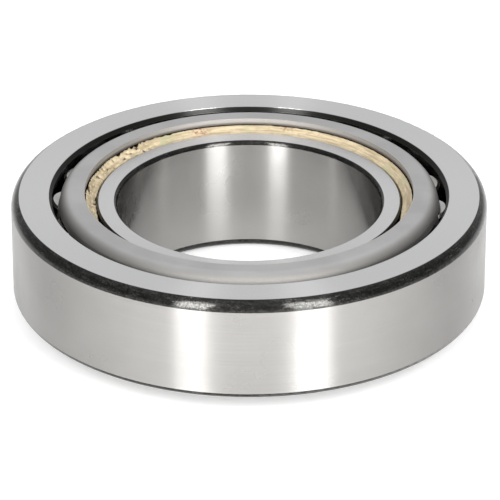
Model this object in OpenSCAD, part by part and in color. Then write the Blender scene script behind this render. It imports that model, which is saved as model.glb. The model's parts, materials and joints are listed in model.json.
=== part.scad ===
// Single-row tapered roller bearing, standing on the back face of its inner ring.
// The origin is the centre of that face, +Z is the bearing's axis, and sizes are in millimetres.
// Both raceways and every roller are cones that share one apex on the axis, above the bearing.

/* [Boundary sizes] */
// Bore of the inner ring
bore_d = 100; // [80:1:106]
// Outside diameter of the outer ring
outside_d = 180; // [174:1:216]
// Overall width, from the inner ring's back face to the outer ring's back face
overall_w = 49; // [44:0.5:60]
// Width of the inner ring
inner_w = 46; // [36:0.5:56]
// Width of the outer ring
outer_w = 39; // [30:0.5:46]

/* [Raceways and ribs] */
// Angle of the outer raceway to the bearing's axis, in degrees
contact_angle = 15.64; // [13:0.02:19]
// Radial wall of the outer ring at its back face, measured to the raceway's sharp edge
outer_wall = 15.9; // [12:0.1:18]
// Radial wall of the inner ring under the small end of its raceway
inner_wall = 6; // [4.5:0.1:9]
// Width of the large rib at the raceway
large_rib_w = 7.9; // [6.5:0.1:12]
// Height of the large rib above the raceway
large_rib_h = 6.2; // [3:0.1:8]
// Width of the small rib at the raceway
small_rib_w = 5.4; // [4:0.1:8]
// Height of the small rib above the raceway
small_rib_h = 1.8; // [1:0.1:2.4]
// Radius of the relief groove at each end of the inner raceway
relief_r = 0.7; // [0.3:0.1:1]

/* [Corners] */
// Outer ring, back face to outside: radial leg
outer_back_r = 3; // [1:0.1:4]
// Outer ring, back face to outside: axial leg
outer_back_z = 4; // [1:0.1:5]
// Outer ring, front face to outside: radial leg
outer_front_r = 1.1; // [0.5:0.1:2]
// Outer ring, front face to outside: axial leg
outer_front_z = 1.8; // [0.5:0.1:3]
// Outer ring, break of the raceway's edge at the back face: radial leg
mouth_r = 1.57; // [0.5:0.01:2.5]
// Outer ring, break of the raceway's edge at the back face: axial leg
mouth_z = 1.6; // [0.5:0.1:2.5]
// Inner ring, front face to bore: radial leg
bore_front_r = 1.15; // [0.5:0.05:2.5]
// Inner ring, front face to bore: axial leg
bore_front_z = 1.6; // [0.5:0.1:3]
// Inner ring, back face to bore: radial leg
bore_back_r = 2.4; // [1:0.1:3.5]
// Inner ring, back face to bore: axial leg
bore_back_z = 3.2; // [1:0.1:4.5]
// Break of every other edge of the rings
edge_break = 0.8; // [0.2:0.1:1.2]

/* [Rollers] */
// Least gap between neighbouring rollers at their large ends
roller_gap = 1; // [0.6:0.1:3]
// Angle of the first roller around the axis, in degrees
roller_phase = -2.9; // [-18:0.1:18]
// Running gap between a roller and each raceway
race_play = 0.1; // [0.05:0.01:0.2]
// Gap between the rollers' large ends and the large rib
rib_play = 0.1; // [0.05:0.01:0.3]
// Gap between the rollers' small ends and the small rib
small_end_play = 0.4; // [0.2:0.1:1]
// Bevel of both ends of a roller
roller_bevel = 0.9; // [0.4:0.1:1.5]
// Radius of the ball-shaped large end of a roller
roller_end_r = 280; // [150:5:300]

/* [Cage] */
// Thickness of the cage's sheet
sheet_t = 2.5; // [1.5:0.1:3]
// Gap between the cage's wall and the outer raceway at the rollers' small ends
cage_gap = 3.3; // [2:0.1:4]
// Gap between the edge of the cage's flange and the inner ring's small rib
lip_gap = 4.4; // [3:0.1:6]
// Outside radius of the bend from the wall to the flange
bend_r = 5; // [3.2:0.1:5.5]
// Height of the flange's top above the rollers' small ends
flange_rise = 7.6; // [6.5:0.1:10]
// Width of the rim past the rollers' large ends
rim_w = 5; // [3:0.1:6.5]
// Gap between a roller and the sides of its pocket
pocket_side = 0.3; // [0.2:0.05:0.6]
// Gap between a roller and the ends of its pocket
pocket_end = 0.5; // [0.3:0.05:1]

/* [Grease] */
// Gap between the grease film and the inner ring's small rib
grease_rib_gap = 0.3; // [0.3:0.05:1]
// Gap between the grease film and the edge of the cage's flange
grease_lip_gap = 0.5; // [0.1:0.05:1]
// Height of the grease above the rollers' small ends, at its bottom
grease_rise = 0.6; // [0.4:0.1:1]
// Drop of the film's inner edge below the inner ring's front face
grease_sink = 0.3; // [0:0.1:1.5]
// Drop of the film's outer edge below the flange's top
grease_drop = 2.2; // [1:0.1:4]
// Radius of the film's hollow top
grease_hollow_r = 7; // [4:0.5:20]

/* [Hidden] */
$fn = 144;

// Facets of the circle behind a roller's ball-shaped end, of which only a short arc is used
ball_facets = 720;
// A corner's arc is centred this many times as deep as an arc that runs smoothly into the longer leg
corner_flatness = 1.25;
// A bend's arc is this much larger than one that only touches both sides, so that it crosses them
bend_cross = 0.02;
// How far a shape reaches past the surface that cuts it, or that it cuts
past = 1;

bore_r = bore_d / 2;
outside_r = outside_d / 2;

// Outer raceway and the apex that all the cones share
mouth = outside_r - outer_wall;
apex_z = overall_w + mouth / tan(contact_angle);
outer_front = overall_w - outer_w;

// Inner raceway: a line from the apex to the foot of the small rib
race_top_z = inner_w - small_rib_w;
inner_angle = atan((bore_r + inner_wall) / (apex_z - race_top_z));
small_rib_r = bore_r + inner_wall + small_rib_h;
race_foot_r = race_r(inner_angle, large_rib_w);
large_rib_r = race_foot_r + large_rib_h;

// Rollers: distances run from the apex down the roller's own axis
roller_angle = (contact_angle - inner_angle) / 2;
axis_angle = (contact_angle + inner_angle) / 2;
large_rib_s = axis_distance(large_rib_w);
small_rib_s = axis_distance(race_top_z);
roller_far = large_rib_s - rib_play;
roller_near = small_rib_s + small_end_play;
pitch_r = roller_far * sin(axis_angle);
roller_count = floor(180 / asin((roller_r(roller_far) + roller_gap / 2) / pitch_r));

// Cage: offsets are measured outwards from the roller's axis, square to it
cage_out = roller_r(roller_near) + race_play - cage_gap;
cage_in = cage_out - sheet_t;
rim_end = roller_far + rim_w;
small_end_z = off_axis(roller_near, 0).y;
flange_top = small_end_z + flange_rise;
bend_z = flange_top - bend_r;
bend_x = offset_r(cage_out - bend_r, bend_z);
lip_r = small_rib_r + lip_gap;

function two_digits(i) = str(i < 10 ? "0" : "", i);
function roller_name(i) = str("roller_", two_digits(i));

// Radius, at height z, of a cone from the apex at the given angle to the axis
function race_r(angle, z) = (apex_z - z) * tan(angle);

// Distance down the roller's axis that is level with height z on the inner raceway
function axis_distance(z) = (apex_z - z) / cos(inner_angle) * cos(roller_angle);

// Radius of a roller at a distance down its own axis
function roller_r(s) = s * tan(roller_angle) - race_play;

// Radius and height of a point at distance s down the roller's axis and offset d from it
function off_axis(s, d) = [
    s * sin(axis_angle) + d * cos(axis_angle),
    apex_z - s * cos(axis_angle) + d * sin(axis_angle)
];

// Height, at radius r, of a face that is square to the rollers' axes at distance s
function square_z(s, r) = apex_z - s / cos(axis_angle) + r * tan(axis_angle);

// Radius, at height z, of the line that runs along the roller's axis at offset d
function offset_r(d, z) = (apex_z - z) * tan(axis_angle) + d / cos(axis_angle);

// Cutter for a rounded corner of a section, with legs that point from the corner into the metal
module corner_cut(corner, legs) {
    reach = norm(legs);
    longest = max(abs(legs.x), abs(legs.y));
    shortest = min(abs(legs.x), abs(legs.y));
    depth = corner_flatness * longest / shortest * reach / 2;
    facing = -[sign(legs.x) * abs(legs.y), sign(legs.y) * abs(legs.x)] / reach;
    centre = corner + legs / 2 - facing * depth;
    out = corner - [sign(legs.x), sign(legs.y)] * past;
    difference() {
        polygon([
            [centre.x, corner.y],
            [centre.x, out.y],
            out,
            [out.x, centre.y],
            [corner.x, centre.y]
        ]);
        translate(centre) circle(norm([depth, reach / 2]));
    }
}

module outer_ring() {
    mouth_low = overall_w - mouth_z;
    break_z = outer_front + edge_break;
    color("gainsboro") rotate_extrude() difference() {
        polygon([
            [outside_r, outer_front],
            [outside_r, overall_w],
            [mouth + mouth_r, overall_w],
            [race_r(contact_angle, mouth_low), mouth_low],
            [race_r(contact_angle, break_z), break_z],
            [race_r(contact_angle, outer_front) + edge_break, outer_front]
        ]);
        corner_cut([outside_r, overall_w], [-outer_back_r, -outer_back_z]);
        corner_cut([outside_r, outer_front], [-outer_front_r, outer_front_z]);
    }
}

module inner_ring() {
    rib_face = [for (r = [race_foot_r, large_rib_r - edge_break])
        [r, square_z(large_rib_s, r)]];
    small_face = [for (r = [small_rib_r - edge_break, bore_r + inner_wall])
        [r, square_z(small_rib_s, r)]];
    color("silver") rotate_extrude() difference() {
        polygon(concat(
            [
                [bore_r, 0],
                [large_rib_r - edge_break, 0],
                [large_rib_r, edge_break],
                [large_rib_r, square_z(large_rib_s, large_rib_r) - edge_break]
            ],
            [rib_face[1], rib_face[0], small_face[1], small_face[0]],
            [
                [small_rib_r, square_z(small_rib_s, small_rib_r) + edge_break],
                [small_rib_r, inner_w - edge_break],
                [small_rib_r - edge_break, inner_w],
                [bore_r, inner_w]
            ]
        ));
        corner_cut([bore_r, 0], [bore_back_r, bore_back_z]);
        corner_cut([bore_r, inner_w], [bore_front_r, -bore_front_z]);
        translate(rib_face[0]) circle(relief_r);
        translate(small_face[1]) circle(relief_r);
    }
}

// Places its children with the apex as their origin and a roller's axis as their +Z
module along_roller(i) {
    rotate([0, 0, roller_phase + (i - 1) * 360 / roller_count])
        translate([0, 0, apex_z])
            rotate([0, 180 - axis_angle, 0])
                children();
}

module roller(i) {
    small_r = roller_r(roller_near);
    large_r = roller_r(roller_far);
    color("lightsteelblue") along_roller(i) rotate_extrude() intersection() {
        polygon([
            [0, roller_near],
            [small_r - roller_bevel, roller_near],
            [small_r, roller_near + roller_bevel],
            [large_r, roller_far - roller_bevel],
            [large_r - roller_bevel - past, roller_far + past],
            [0, roller_far + past]
        ]);
        translate([0, roller_far - roller_end_r]) circle(roller_end_r, $fn = ball_facets);
    }
}

module pocket(i) {
    from = roller_near - pocket_end;
    to = roller_far + pocket_end;
    along_roller(i) translate([0, 0, from])
        cylinder(h = to - from, r1 = roller_r(from) + pocket_side, r2 = roller_r(to) + pocket_side);
}

// Everything inside one side of the cage's sheet: below its flange and inwards of its wall
module inside_sheet(offset, top, radius, reach) {
    end_s = rim_end + reach;
    edge_r = lip_r - reach;
    bend = [bend_x, bend_z];
    difference() {
        polygon([
            off_axis(end_s, offset),
            [offset_r(offset, top), top],
            [edge_r, top],
            [edge_r, square_z(end_s, edge_r)]
        ]);
        difference() {
            polygon([
                bend,
                bend + radius * [cos(axis_angle), sin(axis_angle)],
                bend + 2 * radius * [1, 1],
                bend + [0, radius]
            ]);
            translate(bend) circle(radius + bend_cross);
        }
    }
}

module cage() {
    color("darkgray") difference() {
        rotate_extrude() difference() {
            inside_sheet(cage_out, flange_top, bend_r, 0);
            inside_sheet(cage_in, flange_top - sheet_t, bend_r - sheet_t, past);
        }
        for (i = [1 : roller_count]) pocket(i);
    }
}

module grease_film() {
    low = small_end_z + grease_rise;
    inner_edge = [small_rib_r + grease_rib_gap, inner_w - grease_sink];
    outer_edge = [lip_r - grease_lip_gap, flange_top - grease_drop];
    span = outer_edge - inner_edge;
    width = norm(span);
    centre = (inner_edge + outer_edge) / 2
        + [-span.y, span.x] / width * sqrt(grease_hollow_r ^ 2 - (width / 2) ^ 2);
    color("goldenrod") rotate_extrude() difference() {
        polygon([
            [inner_edge.x, low],
            [outer_edge.x, low],
            outer_edge + [0, past],
            inner_edge + [0, past]
        ]);
        translate(centre) circle(grease_hollow_r);
    }
}

outer_ring();
inner_ring();
cage();
grease_film();
for (i = [1 : roller_count])
    roller(i);
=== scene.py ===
import json
import math

import bmesh
import bpy
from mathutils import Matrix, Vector, noise


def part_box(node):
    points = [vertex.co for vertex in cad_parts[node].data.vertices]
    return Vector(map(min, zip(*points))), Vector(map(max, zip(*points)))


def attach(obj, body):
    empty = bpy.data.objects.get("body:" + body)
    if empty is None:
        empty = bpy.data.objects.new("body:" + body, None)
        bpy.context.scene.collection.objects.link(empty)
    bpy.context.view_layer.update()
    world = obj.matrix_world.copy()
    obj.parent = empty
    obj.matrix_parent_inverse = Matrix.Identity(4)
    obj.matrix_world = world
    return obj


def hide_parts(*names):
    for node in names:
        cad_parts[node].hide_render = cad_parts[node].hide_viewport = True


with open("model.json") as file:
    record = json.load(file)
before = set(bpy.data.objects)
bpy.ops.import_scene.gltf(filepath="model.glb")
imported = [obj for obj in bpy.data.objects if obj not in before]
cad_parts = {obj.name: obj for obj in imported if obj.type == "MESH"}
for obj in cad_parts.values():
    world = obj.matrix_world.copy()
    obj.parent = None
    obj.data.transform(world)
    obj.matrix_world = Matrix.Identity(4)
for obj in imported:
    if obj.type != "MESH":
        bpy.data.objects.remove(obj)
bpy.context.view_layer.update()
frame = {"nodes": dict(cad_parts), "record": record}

mm = 0.001
# Low and high ends of a noise ramp, for a firm blend and for a gentler one
firm = (0.35, 0.65)
gentle = (0.3, 0.7)
mounts = {m["name"]: m for m in frame["record"]["mounts"]}

# Ring sizes that the finishes follow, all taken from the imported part
seat = mounts["housing_seat"]
bore = mounts["shaft_bore"]
seatLow, seatHigh = [seat["pos_m"][2] + k * seat["dims"]["length_mm"] * mm / 2 for k in (-1, 1)]
boreLow, boreHigh = [bore["pos_m"][2] + k * bore["dims"]["length_mm"] * mm / 2 for k in (-1, 1)]
seatR = seat["dims"]["r_mm"] * mm
boreR = bore["dims"]["r_mm"] * mm
outerLow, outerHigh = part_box("outer_ring")
innerLow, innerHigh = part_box("inner_ring")
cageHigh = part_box("cage")[1]
greaseLow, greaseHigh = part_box("grease_film")
cagePoints = [v.co for v in frame["nodes"]["cage"].data.vertices]
bendReach = 5 * mm
cageBendR = max(math.hypot(p.x, p.y) for p in cagePoints if p.z > cageHigh.z - bendReach)
print("frame loaded,", len(frame["nodes"]), "nodes")


def newMaterial(name):
    material = bpy.data.materials.new(name)
    material.use_nodes = True
    tree = material.node_tree
    return material, tree, tree.nodes["Principled BSDF"]


def plug(tree, socket, value):
    if isinstance(value, bpy.types.NodeSocket):
        tree.links.new(value, socket)
    elif isinstance(value, tuple) and socket.type == "RGBA":
        socket.default_value = (*value, 1)
    else:
        socket.default_value = value


def addNode(tree, kind, inputs=None, **settings):
    node = tree.nodes.new("ShaderNode" + kind)
    for key, value in settings.items():
        setattr(node, key, value)
    for key, value in (inputs or {}).items():
        plug(tree, node.inputs[key], value)
    return node


def calc(tree, operation, a, b=0.0):
    return addNode(tree, "Math", {0: a, 1: b}, operation=operation).outputs[0]


def ramp(tree, value, low, high, outLow=0.0, outHigh=1.0):
    # Smooth step of value from low to high, whichever of the two is larger
    flipped = low > high
    node = addNode(
        tree, "MapRange",
        {
            "Value": value,
            "From Min": high if flipped else low,
            "From Max": low if flipped else high,
            "To Min": outHigh if flipped else outLow,
            "To Max": outLow if flipped else outHigh,
        },
        interpolation_type="SMOOTHSTEP",
    )
    return node.outputs["Result"]


def blendColor(tree, factor, a, b):
    return addNode(tree, "Mix", {0: factor, 6: a, 7: b}, data_type="RGBA").outputs[2]


def blendValue(tree, factor, a, b):
    return addNode(tree, "Mix", {0: factor, 2: a, 3: b}, data_type="FLOAT").outputs[0]


def ringPlace(tree):
    # Object coordinates, distance from the bearing's axis, and height on it
    point = addNode(tree, "TexCoord").outputs["Object"]
    flat = addNode(tree, "VectorMath", {0: point, 1: (1, 1, 0)}, operation="MULTIPLY").outputs[0]
    radius = addNode(tree, "VectorMath", {0: flat}, operation="LENGTH").outputs["Value"]
    height = addNode(tree, "SeparateXYZ", {0: point}).outputs["Z"]
    return point, radius, height


def ringNoise(tree, place, long, wide, detail=3.0):
    # Noise drawn out around the axis: marks of length long and width wide
    point, radius, height = place
    stretch = (1 / long, 1 / long, 1 / wide)
    vector = addNode(tree, "VectorMath", {0: point, 1: stretch}, operation="MULTIPLY").outputs[0]
    across = calc(tree, "MULTIPLY", radius, 1 / wide)
    return addNode(
        tree, "TexNoise", {"Vector": vector, "W": across, "Scale": 1.0, "Detail": detail},
        noise_dimensions="4D",
    ).outputs["Fac"]


def evenNoise(tree, place, size, detail=3.0, roughness=0.5):
    return addNode(
        tree, "TexNoise",
        {"Vector": place[0], "Scale": 1 / size, "Detail": detail, "Roughness": roughness},
    ).outputs["Fac"]


# Half widths of the soft borders between a ring's finishes
zoneEdge = 0.1 * mm
faceEdge = 0.03 * mm


def zoneMask(tree, place, zones, edge=zoneEdge):
    # 1 inside any zone of the ring's section, each one (side, radius, side, height)
    mask = None
    for radiusSide, radiusEdge, heightSide, heightEdge in zones:
        inside = calc(
            tree, "MULTIPLY",
            ramp(tree, place[1], radiusEdge - radiusSide * edge, radiusEdge + radiusSide * edge),
            ramp(tree, place[2], heightEdge - heightSide * edge, heightEdge + heightSide * edge),
        )
        mask = inside if mask is None else calc(tree, "MAXIMUM", mask, inside)
    return mask


def uneven(tree, value, middle, spread):
    # A roughness that varies gently about its middle, by so much below it and above it
    below, above = spread
    return ramp(tree, value, *gentle, middle - below, middle + above)


def addBump(tree, shader, height, strength, distance):
    bump = addNode(tree, "Bump", {"Height": height, "Strength": strength, "Distance": distance})
    plug(tree, shader.inputs["Normal"], bump.outputs[0])


# Ring steel: ground walls, finer faces, honed raceways, and dark scale left on the corners;
# painted shade darkens the raceways, the walls seen at a slant and the bore deep down
ringSteel = {
    "wall": (0.378, 0.369, 0.357),
    "wallDull": (0.358, 0.350, 0.338),
    "bore": (0.405, 0.397, 0.384),
    # The bore's painted light towards its top, and the heights over which painted shade fades in
    # deeper down
    "boreTopLit": (0.535, 0.525, 0.510),
    "boreShadeFade": (18 * mm, 44 * mm),
    # Painted shade on the walls seen at a slant: how dark, and over which facing
    "slantShade": 0.60,
    "slantShadeRange": (0.12, 0.62),
    "face": (0.595, 0.595, 0.600),
    "faceDull": (0.570, 0.570, 0.573),
    # Painted shade: a darker colour for the raceways, down in the gap between the rings
    "raceShade": (0.24, 0.24, 0.235),
    "scale": (0.024, 0.024, 0.023),
    "scaleGrain": (0.060, 0.059, 0.057),
    "scaleWorn": (0.090, 0.088, 0.084),
    "mouthScale": (0.042, 0.042, 0.040),
    "wallRoughness": 0.26,
    "wallSpread": (0.02, 0.02),
    "faceRoughness": 0.22,
    "raceRoughness": 0.20,
    "scaleRoughness": 0.17,
    "wornRoughness": 0.32,
    "mouthRoughness": 0.38,
    "anisotropy": 1.0,
    "anisotropyTurn": 0.25,
    "lineLong": 60 * mm,
    "lineWide": 0.22 * mm,
    "lineDepth": 0.0007 * mm,
    "lineStrength": 0.35,
    "cloudSize": 25 * mm,
    "gritSize": 0.7 * mm,
    "gritRelief": 1.5,
    "streakLong": 5 * mm,
    "streakWide": 0.9 * mm,
    "streakRange": (0.45, 0.66),
    "speckSize": 0.5 * mm,
    "speckRange": (0.44, 0.60),
    "grainSize": 0.8 * mm,
    "grainRange": (0.42, 0.62),
}


def makeRingSteel(name, faces, races, corners, boreWall=None, mouth=None):
    # Each finish comes with the zones that it covers, and the ground wall has the rest
    s = ringSteel
    material, tree, shader = newMaterial(name)
    place = ringPlace(tree)
    lines = ringNoise(tree, place, s["lineLong"], s["lineWide"], 4.0)
    cloud = evenNoise(tree, place, s["cloudSize"], 4.0)
    grit = evenNoise(tree, place, s["gritSize"], 5.0, 0.65)
    faceMask = zoneMask(tree, place, faces, faceEdge)
    raceMask = zoneMask(tree, place, races)
    cornerMask = zoneMask(tree, place, corners)

    wall = blendColor(tree, ramp(tree, lines, *firm), s["wallDull"], s["wall"])
    if boreWall:
        # Painted light and shade: the bore's colour is brighter towards its top and darker deeper
        # in the bore
        bore = blendColor(tree, ramp(tree, place[2], *s["boreShadeFade"]), s["bore"], s["boreTopLit"])
        wall = blendColor(tree, zoneMask(tree, place, boreWall), wall, bore)
    # Painted shade: the ground walls' colour is darkened where they are seen at a slant, across
    # their grinding lines
    facing = addNode(tree, "LayerWeight", {"Blend": 0.5}).outputs["Facing"]
    slantShade = ramp(tree, facing, *s["slantShadeRange"], 1.0, s["slantShade"])
    wall = addNode(tree, "VectorMath", {0: wall, 1: slantShade}, operation="MULTIPLY").outputs[0]
    face = blendColor(tree, ramp(tree, grit, *firm), s["faceDull"], s["face"])
    # The scale is grainy, and rubbed through in short streaks with fine specks in them
    streaks = ringNoise(tree, place, s["streakLong"], s["streakWide"], 4.0)
    specks = evenNoise(tree, place, s["speckSize"], 4.0, 0.7)
    streaked = ramp(tree, streaks, *s["streakRange"])
    worn = calc(tree, "MULTIPLY", streaked, ramp(tree, specks, *s["speckRange"]))
    grain = evenNoise(tree, place, s["grainSize"], 3.0, 0.7)
    scale = blendColor(tree, ramp(tree, grain, *s["grainRange"]), s["scale"], s["scaleGrain"])
    scale = blendColor(tree, worn, scale, s["scaleWorn"])
    scaleRough = ramp(tree, worn, 0.0, 1.0, s["scaleRoughness"], s["wornRoughness"])
    if mouth:
        mouthMask = zoneMask(tree, place, mouth)
        scale = blendColor(tree, mouthMask, scale, s["mouthScale"])
        scaleRough = blendValue(tree, mouthMask, scaleRough, s["mouthRoughness"])
    color = blendColor(tree, faceMask, wall, face)
    # Painted shade on the raceways, down in the gap between the rings
    color = blendColor(tree, raceMask, color, s["raceShade"])
    plug(tree, shader.inputs["Base Color"], blendColor(tree, cornerMask, color, scale))

    wallRough = uneven(tree, cloud, s["wallRoughness"], s["wallSpread"])
    rough = blendValue(tree, faceMask, wallRough, s["faceRoughness"])
    rough = blendValue(tree, raceMask, rough, s["raceRoughness"])
    plug(tree, shader.inputs["Roughness"], blendValue(tree, cornerMask, rough, scaleRough))
    shader.inputs["Metallic"].default_value = 1
    shader.inputs["Anisotropic"].default_value = s["anisotropy"]
    shader.inputs["Anisotropic Rotation"].default_value = s["anisotropyTurn"]
    tangent = addNode(tree, "Tangent", direction_type="RADIAL", axis="Z")
    plug(tree, shader.inputs["Tangent"], tangent.outputs[0])
    relief = blendValue(tree, cornerMask, lines, calc(tree, "MULTIPLY", grit, s["gritRelief"]))
    addBump(tree, shader, relief, s["lineStrength"], s["lineDepth"])
    return material


# Where each finish ends, in from the seat, the bore or a face, or as a radius or height
skin = 0.06 * mm
outerZones = {
    "raceIn": 4.5 * mm,
    "mouthDeep": 1.6 * mm,
    "backCornerIn": 3 * mm,
    "frontCornerIn": 1.1 * mm,
    "mouthR": 75.6 * mm,
    "mouthDullR": 76 * mm,
    "mouthDullDeep": 2 * mm,
}
innerZones = {
    "raceR": 56 * mm,
    "raceZ": 40.6 * mm,
    "frontCornerIn": 1.15 * mm,
    "backCornerIn": 2.4 * mm,
    "ribR": 57.05 * mm,
    "ribZ": 40.9 * mm,
    "boreIn": 0.5 * mm,
}


def facesOf(low, high):
    return [(1, 0, 1, high.z - skin), (1, 0, -1, low.z + skin)]


outerSteel = makeRingSteel(
    "groundSteelOuter",
    facesOf(outerLow, outerHigh),
    [(-1, seatR - outerZones["raceIn"], -1, outerHigh.z - outerZones["mouthDeep"])],
    [
        (1, seatR - outerZones["backCornerIn"], 1, seatHigh),
        (1, seatR - outerZones["frontCornerIn"], -1, seatLow),
        (-1, outerZones["mouthR"], 1, outerHigh.z - outerZones["mouthDeep"]),
    ],
    mouth=[(-1, outerZones["mouthDullR"], 1, outerHigh.z - outerZones["mouthDullDeep"])],
)
innerSteel = makeRingSteel(
    "groundSteelInner",
    facesOf(innerLow, innerHigh),
    [(1, innerZones["raceR"], -1, innerZones["raceZ"])],
    [
        (-1, boreR + innerZones["frontCornerIn"], 1, boreHigh),
        (-1, boreR + innerZones["backCornerIn"], -1, boreLow),
        (1, innerZones["ribR"], 1, innerZones["ribZ"]),
    ],
    [(-1, boreR + innerZones["boreIn"], 1, innerLow.z)],
)
print("ring steel made")


# Cage: pressed sheet, satin, with painted shade over the bend, and a sheared edge at the flange
# that is pale at its top and carries painted shade lower down
cageSteel = {
    "pale": (0.47, 0.47, 0.47),
    "dark": (0.41, 0.41, 0.41),
    "stain": (0.45, 0.40, 0.345),
    # Painted shade over the bend: its colour and how it fades in from the bend's radius
    "bend": (0.25, 0.243, 0.232),
    "bendR": cageBendR,
    "bendFade": (3.5 * mm, 0.5 * mm),
    "edge": (0.47, 0.455, 0.44),
    # Painted shade on the lower part of the sheared edge, and the heights where it fades
    "edgeShade": (0.20, 0.185, 0.165),
    "edgeR": 62.5 * mm,
    "edgeDeep": 3 * mm,
    "edgeShadeFade": (2.2 * mm, 1.2 * mm),
    "roughness": 0.62,
    "spread": (0.04, 0.05),
    "cloudSize": 20 * mm,
    "grainSize": 0.4 * mm,
    "drawnLong": 30 * mm,
    "drawnWide": 0.5 * mm,
    "drawnRelief": 0.6,
    "stainSize": 9 * mm,
    "stainRange": (0.60, 0.78),
    "stainMost": 0.5,
    "reliefStrength": 0.25,
    "reliefDepth": 0.008 * mm,
}


def makeCageSteel():
    s = cageSteel
    material, tree, shader = newMaterial("pressedCageSteel")
    place = ringPlace(tree)
    cloud = evenNoise(tree, place, s["cloudSize"], 4.0, 0.5)
    grain = evenNoise(tree, place, s["grainSize"], 4.0, 0.6)
    drawn = ringNoise(tree, place, s["drawnLong"], s["drawnWide"], 3.0)
    metal = blendColor(tree, ramp(tree, cloud, *gentle), s["dark"], s["pale"])
    blots = evenNoise(tree, place, s["stainSize"], 3.0)
    stain = ramp(tree, blots, *s["stainRange"], 0.0, s["stainMost"])
    metal = blendColor(tree, stain, metal, s["stain"])
    # Painted shade: darker colour towards the bend at the flange's rim
    bendShaded = ramp(tree, place[1], *[s["bendR"] - k for k in s["bendFade"]])
    metal = blendColor(tree, bendShaded, metal, s["bend"])
    sheared = zoneMask(tree, place, [(-1, s["edgeR"], 1, cageHigh.z - s["edgeDeep"])])
    # Painted shade: the sheared edge's lower part, under the lip, is painted dark
    edgeAboveShade = ramp(tree, place[2], *[cageHigh.z - k for k in s["edgeShadeFade"]])
    edge = blendColor(tree, edgeAboveShade, s["edgeShade"], s["edge"])
    plug(tree, shader.inputs["Base Color"], blendColor(tree, sheared, metal, edge))
    plug(tree, shader.inputs["Roughness"], uneven(tree, grain, s["roughness"], s["spread"]))
    shader.inputs["Metallic"].default_value = 1
    height = calc(tree, "ADD", grain, calc(tree, "MULTIPLY", drawn, s["drawnRelief"]))
    addBump(tree, shader, height, s["reliefStrength"], s["reliefDepth"])
    return material


# Rollers: polished, with a thin uneven film
rollerSteel = {
    "color": (0.40, 0.40, 0.40),
    "tint": (0.33, 0.32, 0.30),
    "roughness": 0.16,
    "spread": (0.04, 0.06),
    "filmSize": 6 * mm,
    "filmRange": (0.35, 0.7),
    "fineSize": 1.5 * mm,
}


def makeRollerSteel():
    s = rollerSteel
    material, tree, shader = newMaterial("polishedRollerSteel")
    place = ringPlace(tree)
    film = ramp(tree, evenNoise(tree, place, s["filmSize"], 4.0), *s["filmRange"])
    plug(tree, shader.inputs["Base Color"], blendColor(tree, film, s["color"], s["tint"]))
    fine = evenNoise(tree, place, s["fineSize"], 5.0, 0.7)
    plug(tree, shader.inputs["Roughness"], uneven(tree, fine, s["roughness"], s["spread"]))
    shader.inputs["Metallic"].default_value = 1
    return material


def assign(node, material):
    mesh = frame["nodes"][node].data
    mesh.materials.clear()
    mesh.materials.append(material)


assign("outer_ring", outerSteel)
assign("inner_ring", innerSteel)
assign("cage", makeCageSteel())
rollerLook = makeRollerSteel()
rollerNames = sorted(n for n in frame["nodes"] if n.startswith("roller_"))
for name in rollerNames:
    assign(name, rollerLook)
print("looks assigned,", len(rollerNames), "rollers")


# Grease: a wrinkled bead in the groove between the cage's flange and the inner ring
grease = {
    "width": 3.6 * mm,
    "innerZ": innerHigh.z - 0.3 * mm,
    "outerDrop": 0.35 * mm,
    "sag": 0.35 * mm,
    "steps": 540,
    "rows": 12,
    "wrinkle": 0.16 * mm,
    "wrinkleLeft": 0.55 * mm,
    "pitDepth": 1.1 * mm,
    "wrinkleSize": 1.5 * mm,
    "waves": ((1.0, 1.0), (2.3, 0.6), (5.1, 0.3)),
    "waveLevel": 0.5,
    "pitScale": 0.8,
    "pitShift": (9, 4, 2),
    "pitRange": (0.22, 0.45),
    "leftSide": (0.35, 0.8),
    "leftBack": (-0.55, -0.1),
    "ragged": 0.30 * mm,
    "raggedOuter": 0.5,
    "wander": ((14, 0, 1.0), (40, 3, 0.5)),
    "recede": 2.3 * mm,
    "recedeRange": (0.12, 0.5),
    "leastDepth": 0.5 * mm,
    "weld": 0.001 * mm,
    "pale": (0.475, 0.395, 0.262),
    "amber": (0.310, 0.246, 0.150),
    "green": (0.330, 0.325, 0.190),
    "rust": (0.220, 0.080, 0.050),
    # Painted shade colour for the pits' hollows
    "pit": (0.060, 0.046, 0.032),
    "roughness": 0.42,
    "spread": (0.08, 0.12),
    "streakLong": 9 * mm,
    "streakWide": 0.8 * mm,
    "streakRange": (0.36, 0.60),
    "clotSize": 2.2 * mm,
    "clotRange": (0.52, 0.72),
    "clotMost": 0.7,
    "tingeSize": 7 * mm,
    "tingeRange": (0.55, 0.72),
    "tingeMost": 0.7,
    "fleckSize": 1.2 * mm,
    "fleckRange": (0.48, 0.60),
    "fleckMost": 0.85,
    "rustCore": 0.4,
    "pitShadeRange": (0.3, 0.9),
    "reliefStrength": 0.5,
    "reliefDepth": 0.15 * mm,
}
# Where rust flecks show: across, back and size
rustSpots = [(-19 * mm, 57.5 * mm, 5.5 * mm), (15.5 * mm, 60.5 * mm, 4.5 * mm)]


def smooth(value, low, high):
    t = min(max((value - low) / (high - low), 0), 1)
    return t * t * (3 - 2 * t)


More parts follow.
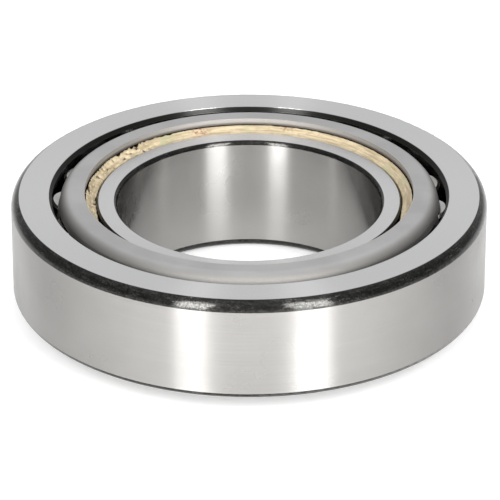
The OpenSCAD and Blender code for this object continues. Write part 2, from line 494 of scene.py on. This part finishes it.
def makeGrease():
    s = grease
    outerR, outerZ, low = greaseHigh.x, greaseHigh.z, greaseLow.z
    innerR = outerR - s["width"]
    bm = bmesh.new()
    top = []
    for k in range(s["rows"] + 1):
        t = k / s["rows"]
        z = s["innerZ"] + (outerZ - s["innerZ"]) * t - s["sag"] * 4 * t * (1 - t)
        top.append(bm.verts.new((innerR + s["width"] * t, 0, z)))
    section = [bm.verts.new((innerR, 0, low))] + top + [bm.verts.new((outerR, 0, low))]
    edges = [bm.edges.new(pair) for pair in zip(section, section[1:] + section[:1])]
    bmesh.ops.spin(
        bm, geom=section + edges, cent=(0, 0, 0), axis=(0, 0, 1), angle=math.tau,
        steps=s["steps"], use_merge=True,
    )
    bmesh.ops.remove_doubles(bm, verts=bm.verts, dist=s["weld"])
    pits = []
    for vert in bm.verts:
        x, y, z = vert.co
        radius = math.hypot(x, y)
        side, back = x / radius, y / radius
        across = (radius - innerR) / s["width"]
        # The left part is pitted and more wrinkled than the rest
        left = smooth(-side, *s["leftSide"]) * smooth(back, *s["leftBack"])
        place = vert.co / s["wrinkleSize"]
        ripple = sum(weight * noise.noise(place * scale) for scale, weight in s["waves"])
        pitPlace = place * s["pitScale"] + Vector(s["pitShift"])
        pit = smooth(noise.noise(pitPlace), *s["pitRange"]) * left
        pits.append(pit)
        # The bead's edges wander, and on the near side it comes away from the inner ring
        wander = sum(
            weight * noise.noise(Vector((side, back, layer)) * scale)
            for scale, layer, weight in s["wander"]
        )
        inward = s["recede"] * smooth(-back, *s["recedeRange"]) + s["ragged"] * max(wander, 0)
        edgeIn = innerR + inward * (1 - across)
        edgeOut = outerR - s["ragged"] * s["raggedOuter"] * max(-wander, 0)
        newRadius = edgeIn + (edgeOut - edgeIn) * across
        if z > low + s["weld"]:
            height = s["wrinkle"] + (s["wrinkleLeft"] - s["wrinkle"]) * left
            z += height * (ripple - s["waveLevel"]) - s["pitDepth"] * pit
            z -= s["outerDrop"] * across * (1 - left)
            z = min(max(z, low + s["leastDepth"]), outerZ)
        vert.co = (side * newRadius, back * newRadius, z)
    bmesh.ops.recalc_face_normals(bm, faces=bm.faces)
    mesh = bpy.data.meshes.new("greaseBead")
    bm.to_mesh(mesh)
    bm.free()
    mesh.attributes.new("pit", "FLOAT", "POINT").data.foreach_set("value", pits)
    mesh.shade_smooth()
    bead = bpy.data.objects.new("greaseBead", mesh)
    bpy.context.scene.collection.objects.link(bead)
    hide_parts("grease_film")
    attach(bead, "cage")
    return bead


def makeGreaseLook():
    s = grease
    material, tree, shader = newMaterial("amberGrease")
    place = ringPlace(tree)
    streak = ringNoise(tree, place, s["streakLong"], s["streakWide"], 4.0)
    clot = evenNoise(tree, place, s["clotSize"], 4.0, 0.6)
    tinge = evenNoise(tree, place, s["tingeSize"], 2.0)
    fleck = evenNoise(tree, place, s["fleckSize"], 3.0, 0.6)
    color = blendColor(tree, ramp(tree, streak, *s["streakRange"]), s["amber"], s["pale"])
    clotted = ramp(tree, clot, *s["clotRange"], 0.0, s["clotMost"])
    color = blendColor(tree, clotted, color, s["amber"])
    tinged = ramp(tree, tinge, *s["tingeRange"], 0.0, s["tingeMost"])
    color = blendColor(tree, tinged, color, s["green"])
    flecked = ramp(tree, fleck, *s["fleckRange"], 0.0, s["fleckMost"])
    for x, y, size in rustSpots:
        spot = (x, y, greaseHigh.z)
        away = addNode(tree, "VectorMath", {0: place[0], 1: spot}, operation="DISTANCE")
        near = ramp(tree, away.outputs["Value"], size, size * s["rustCore"])
        color = blendColor(tree, calc(tree, "MULTIPLY", near, flecked), color, s["rust"])
    # Painted shade: the bead's pits are darkened as shade in the hollows
    pit = addNode(tree, "Attribute", attribute_name="pit").outputs["Fac"]
    color = blendColor(tree, ramp(tree, pit, *s["pitShadeRange"]), color, s["pit"])
    plug(tree, shader.inputs["Base Color"], color)
    plug(tree, shader.inputs["Roughness"], uneven(tree, clot, s["roughness"], s["spread"]))
    addBump(tree, shader, clot, s["reliefStrength"], s["reliefDepth"])
    return material


makeGrease().data.materials.append(makeGreaseLook())
print("grease made")


# Stage: a pale, faintly glowing floor, a pale room and two upright soft panels in front
studio = {
    "floorSize": 12.0,
    "floorColor": (0.97, 0.97, 0.97),
    "floorRoughness": 0.9,
    "floorGlow": 0.14,
    "skyColor": (1.0, 1.0, 1.0),
    "skyFront": (1.0, 0.965, 0.90),
    "skyBack": 0.92,
    "skySide": 0.40,
    "sideRange": (0.25, 0.85),
    "frontRange": (0.80, 0.97),
    "panelElevation": 24.5,
    "panelDistance": 1.5,
    "panelHeight": 1.25,
    "panelPower": 61.0,
    "panelAim": 20 * mm,
    "panels": {"panelLeft": (-25.6, 0.37), "panelRight": (28.6, 0.44)},
}


def makeFloor():
    bm = bmesh.new()
    bmesh.ops.create_grid(bm, x_segments=1, y_segments=1, size=studio["floorSize"] / 2)
    mesh = bpy.data.meshes.new("floor")
    bm.to_mesh(mesh)
    bm.free()
    floor = bpy.data.objects.new("floor", mesh)
    bpy.context.scene.collection.objects.link(floor)
    material, tree, shader = newMaterial("palePaper")
    shader.inputs["Base Color"].default_value = (*studio["floorColor"], 1)
    shader.inputs["Roughness"].default_value = studio["floorRoughness"]
    shader.inputs["Specular IOR Level"].default_value = 0.0
    shader.inputs["Emission Color"].default_value = (1, 1, 1, 1)
    shader.inputs["Emission Strength"].default_value = studio["floorGlow"]
    mesh.materials.append(material)


def aimed(thing, place, target):
    thing.location = place
    thing.rotation_euler = (target - place).to_track_quat("-Z", "Y").to_euler()


def around(azimuth, elevation, distance):
    a, e = math.radians(azimuth), math.radians(elevation)
    return Vector((math.sin(a) * math.cos(e), -math.cos(a) * math.cos(e), math.sin(e))) * distance


def makePanel(name, azimuth, width):
    light = bpy.data.lights.new(name, "AREA")
    light.shape = "RECTANGLE"
    light.size, light.size_y = width, studio["panelHeight"]
    light.energy = studio["panelPower"] * width
    panel = bpy.data.objects.new(name, light)
    bpy.context.scene.collection.objects.link(panel)
    place = around(azimuth, studio["panelElevation"], studio["panelDistance"])
    aimed(panel, place, Vector((0, 0, studio["panelAim"])))


def makeSky():
    # A pale room, darker to the sides and faintly warm in front
    world = bpy.data.worlds.new("studio")
    world.use_nodes = True
    tree = world.node_tree
    direction = addNode(tree, "TexCoord").outputs["Generated"]
    x, y, z = addNode(tree, "SeparateXYZ", {0: direction}).outputs
    side = ramp(tree, calc(tree, "ABSOLUTE", x), *studio["sideRange"])
    front = ramp(tree, calc(tree, "MULTIPLY", y, -1.0), *studio["frontRange"])
    color = blendColor(tree, front, studio["skyColor"], studio["skyFront"])
    strength = blendValue(tree, side, studio["skyBack"], studio["skySide"])
    background = tree.nodes["Background"]
    plug(tree, background.inputs["Color"], color)
    plug(tree, background.inputs["Strength"], strength)
    bpy.context.scene.world = world


makeFloor()
for name, (azimuth, width) in studio["panels"].items():
    makePanel(name, azimuth, width)
makeSky()
bpy.context.scene.view_settings.view_transform = "Standard"

view = {
    "distance": 1.43896,
    "elevation": 27.286,
    "targetHeight": 24.076 * mm,
    "lens": 271.78,
    "sensor": 36,
    "shift": 0.0019,
}
camera = bpy.data.cameras.new("camera")
camera.lens = view["lens"]
camera.sensor_width = view["sensor"]
camera.shift_x = view["shift"]
cameraObject = bpy.data.objects.new("camera", camera)
bpy.context.scene.collection.objects.link(cameraObject)
target = Vector((0, 0, view["targetHeight"]))
aimed(cameraObject, target + around(0, view["elevation"], view["distance"]), target)
bpy.context.scene.camera = cameraObject
print("stage, lights and camera set")
